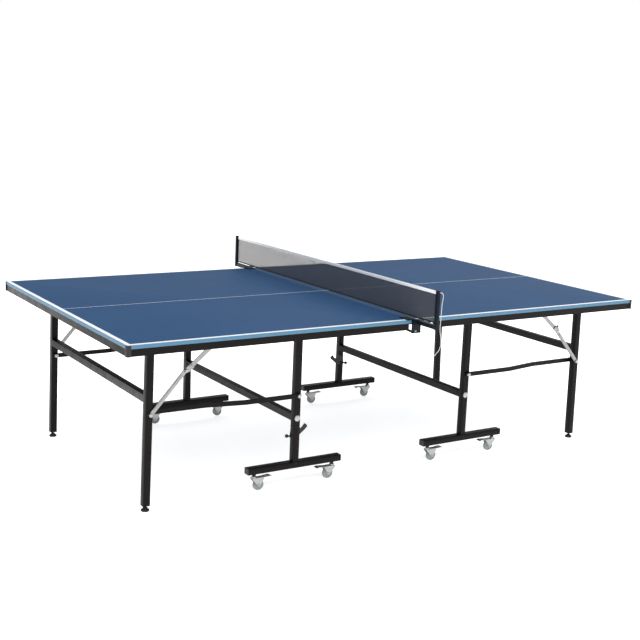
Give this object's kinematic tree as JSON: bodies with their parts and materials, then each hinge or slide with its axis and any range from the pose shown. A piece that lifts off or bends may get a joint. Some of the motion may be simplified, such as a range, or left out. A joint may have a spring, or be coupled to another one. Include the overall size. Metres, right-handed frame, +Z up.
{
  "type": "ping pong table",
  "caption": "Full-size two-piece folding table-tennis table on rollaway trolleys, with fold-under legs, stays, braked casters, latches and a clamp-on net.",
  "frame": {"origin": "on the floor under the middle of the table, where the net's centre is", "axes": "+X along the length of the table towards the right half, +Y across to the far side, +Z up"},
  "size_m": [2.7444, 1.8602, 0.9165],
  "materials": {
    "frame_paint": "satin black powder coat",
    "blue_panel": "satin blue paint on fibreboard, with white lines",
    "black_plastic": "moulded corner guard",
    "bracket_steel": "black powder coat",
    "net_mesh": "open black mesh with white top tape",
    "cord": "off-white cord",
    "foot_rubber": "black pad",
    "zinc_plate": "bright zinc plate",
    "latch_plastic": "black hook with ball handle",
    "grey_wheel": "grey soft tread"
  },
  "bodies": {
    "left_trolley": {"left_trolley_frame": "frame_paint"},
    "left_top": {"left_tabletop": "blue_panel", "left_apron_frame": "frame_paint", "left_corner_cap_near": "black_plastic", "left_corner_cap_far": "black_plastic", "near_net_bracket": "bracket_steel", "far_net_bracket": "bracket_steel", "net": "net_mesh", "tension_cord": "cord"},
    "left_outer_legs": {"left_outer_leg_frame": "frame_paint"},
    "left_link_bar_far": {"left_link_bar_far": "frame_paint"},
    "left_link_bar_near": {"left_link_bar_near": "frame_paint"},
    "left_levelling_foot_far": {"left_levelling_foot_far": "foot_rubber"},
    "left_levelling_foot_near": {"left_levelling_foot_near": "foot_rubber"},
    "left_stay_lower_far": {"left_stay_lower_far": "zinc_plate"},
    "left_stay_upper_far": {"left_stay_upper_far": "zinc_plate"},
    "left_stay_lower_near": {"left_stay_lower_near": "zinc_plate"},
    "left_stay_upper_near": {"left_stay_upper_near": "zinc_plate"},
    "left_latch_hook": {"left_latch_hook": "latch_plastic"},
    "left_caster_fork_far_inner": {"left_caster_fork_far_inner": "zinc_plate"},
    "left_caster_wheel_far_inner": {"left_caster_wheel_far_inner": "grey_wheel"},
    "left_brake_pedal_far_inner": {"left_brake_pedal_far_inner": "zinc_plate"},
    "left_caster_fork_far_outer": {"left_caster_fork_far_outer": "zinc_plate"},
    "left_caster_wheel_far_outer": {"left_caster_wheel_far_outer": "grey_wheel"},
    "left_brake_pedal_far_outer": {"left_brake_pedal_far_outer": "zinc_plate"},
    "left_caster_fork_near_inner": {"left_caster_fork_near_inner": "zinc_plate"},
    "left_caster_wheel_near_inner": {"left_caster_wheel_near_inner": "grey_wheel"},
    "left_brake_pedal_near_inner": {"left_brake_pedal_near_inner": "zinc_plate"},
    "left_caster_fork_near_outer": {"left_caster_fork_near_outer": "zinc_plate"},
    "left_caster_wheel_near_outer": {"left_caster_wheel_near_outer": "grey_wheel"},
    "left_brake_pedal_near_outer": {"left_brake_pedal_near_outer": "zinc_plate"},
    "right_trolley": {"right_trolley_frame": "frame_paint"},
    "right_top": {"right_tabletop": "blue_panel", "right_apron_frame": "frame_paint", "right_corner_cap_near": "black_plastic", "right_corner_cap_far": "black_plastic"},
    "right_outer_legs": {"right_outer_leg_frame": "frame_paint"},
    "right_link_bar_near": {"right_link_bar_near": "frame_paint"},
    "right_link_bar_far": {"right_link_bar_far": "frame_paint"},
    "right_levelling_foot_near": {"right_levelling_foot_near": "foot_rubber"},
    "right_levelling_foot_far": {"right_levelling_foot_far": "foot_rubber"},
    "right_stay_lower_near": {"right_stay_lower_near": "zinc_plate"},
    "right_stay_upper_near": {"right_stay_upper_near": "zinc_plate"},
    "right_stay_lower_far": {"right_stay_lower_far": "zinc_plate"},
    "right_stay_upper_far": {"right_stay_upper_far": "zinc_plate"},
    "right_latch_hook": {"right_latch_hook": "latch_plastic"},
    "right_caster_fork_near_inner": {"right_caster_fork_near_inner": "zinc_plate"},
    "right_caster_wheel_near_inner": {"right_caster_wheel_near_inner": "grey_wheel"},
    "right_brake_pedal_near_inner": {"right_brake_pedal_near_inner": "zinc_plate"},
    "right_caster_fork_near_outer": {"right_caster_fork_near_outer": "zinc_plate"},
    "right_caster_wheel_near_outer": {"right_caster_wheel_near_outer": "grey_wheel"},
    "right_brake_pedal_near_outer": {"right_brake_pedal_near_outer": "zinc_plate"},
    "right_caster_fork_far_inner": {"right_caster_fork_far_inner": "zinc_plate"},
    "right_caster_wheel_far_inner": {"right_caster_wheel_far_inner": "grey_wheel"},
    "right_brake_pedal_far_inner": {"right_brake_pedal_far_inner": "zinc_plate"},
    "right_caster_fork_far_outer": {"right_caster_fork_far_outer": "zinc_plate"},
    "right_caster_wheel_far_outer": {"right_caster_wheel_far_outer": "grey_wheel"},
    "right_brake_pedal_far_outer": {"right_brake_pedal_far_outer": "zinc_plate"},
    "near_clamp_jaw": {"near_clamp_jaw": "bracket_steel"},
    "far_clamp_jaw": {"far_clamp_jaw": "bracket_steel"}
  },
  "joints": [
    {"name": "left_top_fold", "type": "hinge", "parent": "left_trolley", "child": "left_top", "pos_m": [-0.478, 0, 0.714], "axis": [0, 1, 0], "range_deg": [0, 84], "deforming": ["net"]},
    {"name": "left_outer_legs_fold", "type": "hinge", "parent": "left_top", "child": "left_outer_legs", "pos_m": [-1.19, 0, 0.714], "axis": [0, 1, 0], "range_deg": [-84, 0]},
    {"name": "left_link_bar_far_swing", "type": "hinge", "parent": "left_trolley", "child": "left_link_bar_far", "pos_m": [-0.48, 0.552, 0.416], "axis": [0, 1, 0], "range_deg": [0, 84]},
    {"name": "left_link_bar_near_swing", "type": "hinge", "parent": "left_trolley", "child": "left_link_bar_near", "pos_m": [-0.48, -0.552, 0.416], "axis": [0, 1, 0], "range_deg": [0, 84]},
    {"name": "left_levelling_foot_far_screw", "type": "slide", "parent": "left_outer_legs", "child": "left_levelling_foot_far", "axis": [0, 0, 1], "range_m": [-0.006, 0.008]},
    {"name": "left_levelling_foot_near_screw", "type": "slide", "parent": "left_outer_legs", "child": "left_levelling_foot_near", "axis": [0, 0, 1], "range_m": [-0.006, 0.008]},
    {"name": "left_stay_lower_far_swing", "type": "hinge", "parent": "left_outer_legs", "child": "left_stay_lower_far", "pos_m": [-1.192, 0.584, 0.416], "axis": [0, 1, 0], "range_deg": [0, 130]},
    {"name": "left_stay_upper_far_swing", "type": "hinge", "parent": "left_top", "child": "left_stay_upper_far", "pos_m": [-0.872, 0.592, 0.726], "axis": [0, 1, 0], "range_deg": [-132, 0]},
    {"name": "left_stay_lower_near_swing", "type": "hinge", "parent": "left_outer_legs", "child": "left_stay_lower_near", "pos_m": [-1.192, -0.584, 0.416], "axis": [0, 1, 0], "range_deg": [0, 130]},
    {"name": "left_stay_upper_near_swing", "type": "hinge", "parent": "left_top", "child": "left_stay_upper_near", "pos_m": [-0.872, -0.592, 0.726], "axis": [0, 1, 0], "range_deg": [-132, 0]},
    {"name": "left_latch_turn", "type": "hinge", "parent": "left_trolley", "child": "left_latch_hook", "pos_m": [-0.479, -0.536, 0.222], "axis": [0, 1, 0], "range_deg": [0, 35]},
    {"name": "left_caster_swivel_far_inner", "type": "hinge", "parent": "left_trolley", "child": "left_caster_fork_far_inner", "pos_m": [-0.276, 0.552, 0.06], "axis": [0, 0, 1], "continuous": true},
    {"name": "left_wheel_spin_far_inner", "type": "hinge", "parent": "left_caster_fork_far_inner", "child": "left_caster_wheel_far_inner", "pos_m": [-0.298, 0.552, 0.025], "axis": [0, 1, 0], "continuous": true},
    {"name": "left_brake_pedal_far_inner_press", "type": "hinge", "parent": "left_caster_fork_far_inner", "child": "left_brake_pedal_far_inner", "pos_m": [-0.316, 0.552, 0.0545], "axis": [0, -1, 0], "range_deg": [0, 8]},
    {"name": "left_caster_swivel_far_outer", "type": "hinge", "parent": "left_trolley", "child": "left_caster_fork_far_outer", "pos_m": [-0.682, 0.552, 0.06], "axis": [0, 0, 1], "continuous": true},
    {"name": "left_wheel_spin_far_outer", "type": "hinge", "parent": "left_caster_fork_far_outer", "child": "left_caster_wheel_far_outer", "pos_m": [-0.66, 0.552, 0.025], "axis": [0, 1, 0], "continuous": true},
    {"name": "left_brake_pedal_far_outer_press", "type": "hinge", "parent": "left_caster_fork_far_outer", "child": "left_brake_pedal_far_outer", "pos_m": [-0.642, 0.552, 0.0545], "axis": [0, 1, 0], "range_deg": [0, 8]},
    {"name": "left_caster_swivel_near_inner", "type": "hinge", "parent": "left_trolley", "child": "left_caster_fork_near_inner", "pos_m": [-0.276, -0.552, 0.06], "axis": [0, 0, 1], "continuous": true},
    {"name": "left_wheel_spin_near_inner", "type": "hinge", "parent": "left_caster_fork_near_inner", "child": "left_caster_wheel_near_inner", "pos_m": [-0.298, -0.552, 0.025], "axis": [0, 1, 0], "continuous": true},
    {"name": "left_brake_pedal_near_inner_press", "type": "hinge", "parent": "left_caster_fork_near_inner", "child": "left_brake_pedal_near_inner", "pos_m": [-0.316, -0.552, 0.0545], "axis": [0, -1, 0], "range_deg": [0, 8]},
    {"name": "left_caster_swivel_near_outer", "type": "hinge", "parent": "left_trolley", "child": "left_caster_fork_near_outer", "pos_m": [-0.682, -0.552, 0.06], "axis": [0, 0, 1], "continuous": true},
    {"name": "left_wheel_spin_near_outer", "type": "hinge", "parent": "left_caster_fork_near_outer", "child": "left_caster_wheel_near_outer", "pos_m": [-0.66, -0.552, 0.025], "axis": [0, 1, 0], "continuous": true},
    {"name": "left_brake_pedal_near_outer_press", "type": "hinge", "parent": "left_caster_fork_near_outer", "child": "left_brake_pedal_near_outer", "pos_m": [-0.642, -0.552, 0.0545], "axis": [0, 1, 0], "range_deg": [0, 8]},
    {"name": "right_trolley_roll", "type": "slide", "parent": "left_trolley", "child": "right_trolley", "axis": [1, 0, 0], "range_m": [0, 0.6]},
    {"name": "right_top_fold", "type": "hinge", "parent": "right_trolley", "child": "right_top", "pos_m": [0.478, 0, 0.714], "axis": [0, -1, 0], "range_deg": [0, 84]},
    {"name": "right_outer_legs_fold", "type": "hinge", "parent": "right_top", "child": "right_outer_legs", "pos_m": [1.19, 0, 0.714], "axis": [0, -1, 0], "range_deg": [-84, 0]},
    {"name": "right_link_bar_near_swing", "type": "hinge", "parent": "right_trolley", "child": "right_link_bar_near", "pos_m": [0.48, -0.552, 0.416], "axis": [0, -1, 0], "range_deg": [0, 84]},
    {"name": "right_link_bar_far_swing", "type": "hinge", "parent": "right_trolley", "child": "right_link_bar_far", "pos_m": [0.48, 0.552, 0.416], "axis": [0, -1, 0], "range_deg": [0, 84]},
    {"name": "right_levelling_foot_near_screw", "type": "slide", "parent": "right_outer_legs", "child": "right_levelling_foot_near", "axis": [0, 0, 1], "range_m": [-0.006, 0.008]},
    {"name": "right_levelling_foot_far_screw", "type": "slide", "parent": "right_outer_legs", "child": "right_levelling_foot_far", "axis": [0, 0, 1], "range_m": [-0.006, 0.008]},
    {"name": "right_stay_lower_near_swing", "type": "hinge", "parent": "right_outer_legs", "child": "right_stay_lower_near", "pos_m": [1.192, -0.584, 0.416], "axis": [0, -1, 0], "range_deg": [0, 130]},
    {"name": "right_stay_upper_near_swing", "type": "hinge", "parent": "right_top", "child": "right_stay_upper_near", "pos_m": [0.872, -0.592, 0.726], "axis": [0, -1, 0], "range_deg": [-132, 0]},
    {"name": "right_stay_lower_far_swing", "type": "hinge", "parent": "right_outer_legs", "child": "right_stay_lower_far", "pos_m": [1.192, 0.584, 0.416], "axis": [0, -1, 0], "range_deg": [0, 130]},
    {"name": "right_stay_upper_far_swing", "type": "hinge", "parent": "right_top", "child": "right_stay_upper_far", "pos_m": [0.872, 0.592, 0.726], "axis": [0, -1, 0], "range_deg": [-132, 0]},
    {"name": "right_latch_turn", "type": "hinge", "parent": "right_trolley", "child": "right_latch_hook", "pos_m": [0.479, 0.536, 0.222], "axis": [0, -1, 0], "range_deg": [0, 35]},
    {"name": "right_caster_swivel_near_inner", "type": "hinge", "parent": "right_trolley", "child": "right_caster_fork_near_inner", "pos_m": [0.276, -0.552, 0.06], "axis": [0, 0, 1], "continuous": true},
    {"name": "right_wheel_spin_near_inner", "type": "hinge", "parent": "right_caster_fork_near_inner", "child": "right_caster_wheel_near_inner", "pos_m": [0.298, -0.552, 0.025], "axis": [0, 1, 0], "continuous": true},
    {"name": "right_brake_pedal_near_inner_press", "type": "hinge", "parent": "right_caster_fork_near_inner", "child": "right_brake_pedal_near_inner", "pos_m": [0.316, -0.552, 0.0545], "axis": [0, 1, 0], "range_deg": [0, 8]},
    {"name": "right_caster_swivel_near_outer", "type": "hinge", "parent": "right_trolley", "child": "right_caster_fork_near_outer", "pos_m": [0.682, -0.552, 0.06], "axis": [0, 0, 1], "continuous": true},
    {"name": "right_wheel_spin_near_outer", "type": "hinge", "parent": "right_caster_fork_near_outer", "child": "right_caster_wheel_near_outer", "pos_m": [0.66, -0.552, 0.025], "axis": [0, 1, 0], "continuous": true},
    {"name": "right_brake_pedal_near_outer_press", "type": "hinge", "parent": "right_caster_fork_near_outer", "child": "right_brake_pedal_near_outer", "pos_m": [0.642, -0.552, 0.0545], "axis": [0, -1, 0], "range_deg": [0, 8]},
    {"name": "right_caster_swivel_far_inner", "type": "hinge", "parent": "right_trolley", "child": "right_caster_fork_far_inner", "pos_m": [0.276, 0.552, 0.06], "axis": [0, 0, 1], "continuous": true},
    {"name": "right_wheel_spin_far_inner", "type": "hinge", "parent": "right_caster_fork_far_inner", "child": "right_caster_wheel_far_inner", "pos_m": [0.298, 0.552, 0.025], "axis": [0, 1, 0], "continuous": true},
    {"name": "right_brake_pedal_far_inner_press", "type": "hinge", "parent": "right_caster_fork_far_inner", "child": "right_brake_pedal_far_inner", "pos_m": [0.316, 0.552, 0.0545], "axis": [0, 1, 0], "range_deg": [0, 8]},
    {"name": "right_caster_swivel_far_outer", "type": "hinge", "parent": "right_trolley", "child": "right_caster_fork_far_outer", "pos_m": [0.682, 0.552, 0.06], "axis": [0, 0, 1], "continuous": true},
    {"name": "right_wheel_spin_far_outer", "type": "hinge", "parent": "right_caster_fork_far_outer", "child": "right_caster_wheel_far_outer", "pos_m": [0.66, 0.552, 0.025], "axis": [0, 1, 0], "continuous": true},
    {"name": "right_brake_pedal_far_outer_press", "type": "hinge", "parent": "right_caster_fork_far_outer", "child": "right_brake_pedal_far_outer", "pos_m": [0.642, 0.552, 0.0545], "axis": [0, -1, 0], "range_deg": [0, 8]},
    {"name": "near_clamp_jaw_open", "type": "hinge", "parent": "left_top", "child": "near_clamp_jaw", "pos_m": [-0.006, -0.7668, 0.703], "axis": [-1, 0, 0], "range_deg": [0, 25], "stiffness_Nm_per_rad": 2, "springref_deg": -11.46},
    {"name": "far_clamp_jaw_open", "type": "hinge", "parent": "left_top", "child": "far_clamp_jaw", "pos_m": [-0.006, 0.7668, 0.703], "axis": [1, 0, 0], "range_deg": [0, 25], "stiffness_Nm_per_rad": 2, "springref_deg": -11.46}
  ],
  "couplings": [
    {"joint": "left_outer_legs_fold", "follows": "left_top_fold", "ratio": -1},
    {"joint": "left_link_bar_far_swing", "follows": "left_top_fold", "ratio": 1},
    {"joint": "left_link_bar_near_swing", "follows": "left_top_fold", "ratio": 1},
    {"joint": "left_stay_lower_far_swing", "follows": "left_top_fold", "ratio": 1.545},
    {"joint": "left_stay_upper_far_swing", "follows": "left_top_fold", "ratio": -1.5608},
    {"joint": "left_stay_lower_near_swing", "follows": "left_top_fold", "ratio": 1.545},
    {"joint": "left_stay_upper_near_swing", "follows": "left_top_fold", "ratio": -1.5608},
    {"joint": "right_outer_legs_fold", "follows": "right_top_fold", "ratio": -1},
    {"joint": "right_link_bar_near_swing", "follows": "right_top_fold", "ratio": 1},
    {"joint": "right_link_bar_far_swing", "follows": "right_top_fold", "ratio": 1},
    {"joint": "right_stay_lower_near_swing", "follows": "right_top_fold", "ratio": 1.545},
    {"joint": "right_stay_upper_near_swing", "follows": "right_top_fold", "ratio": -1.5608},
    {"joint": "right_stay_lower_far_swing", "follows": "right_top_fold", "ratio": 1.545},
    {"joint": "right_stay_upper_far_swing", "follows": "right_top_fold", "ratio": -1.5608}
  ]
}
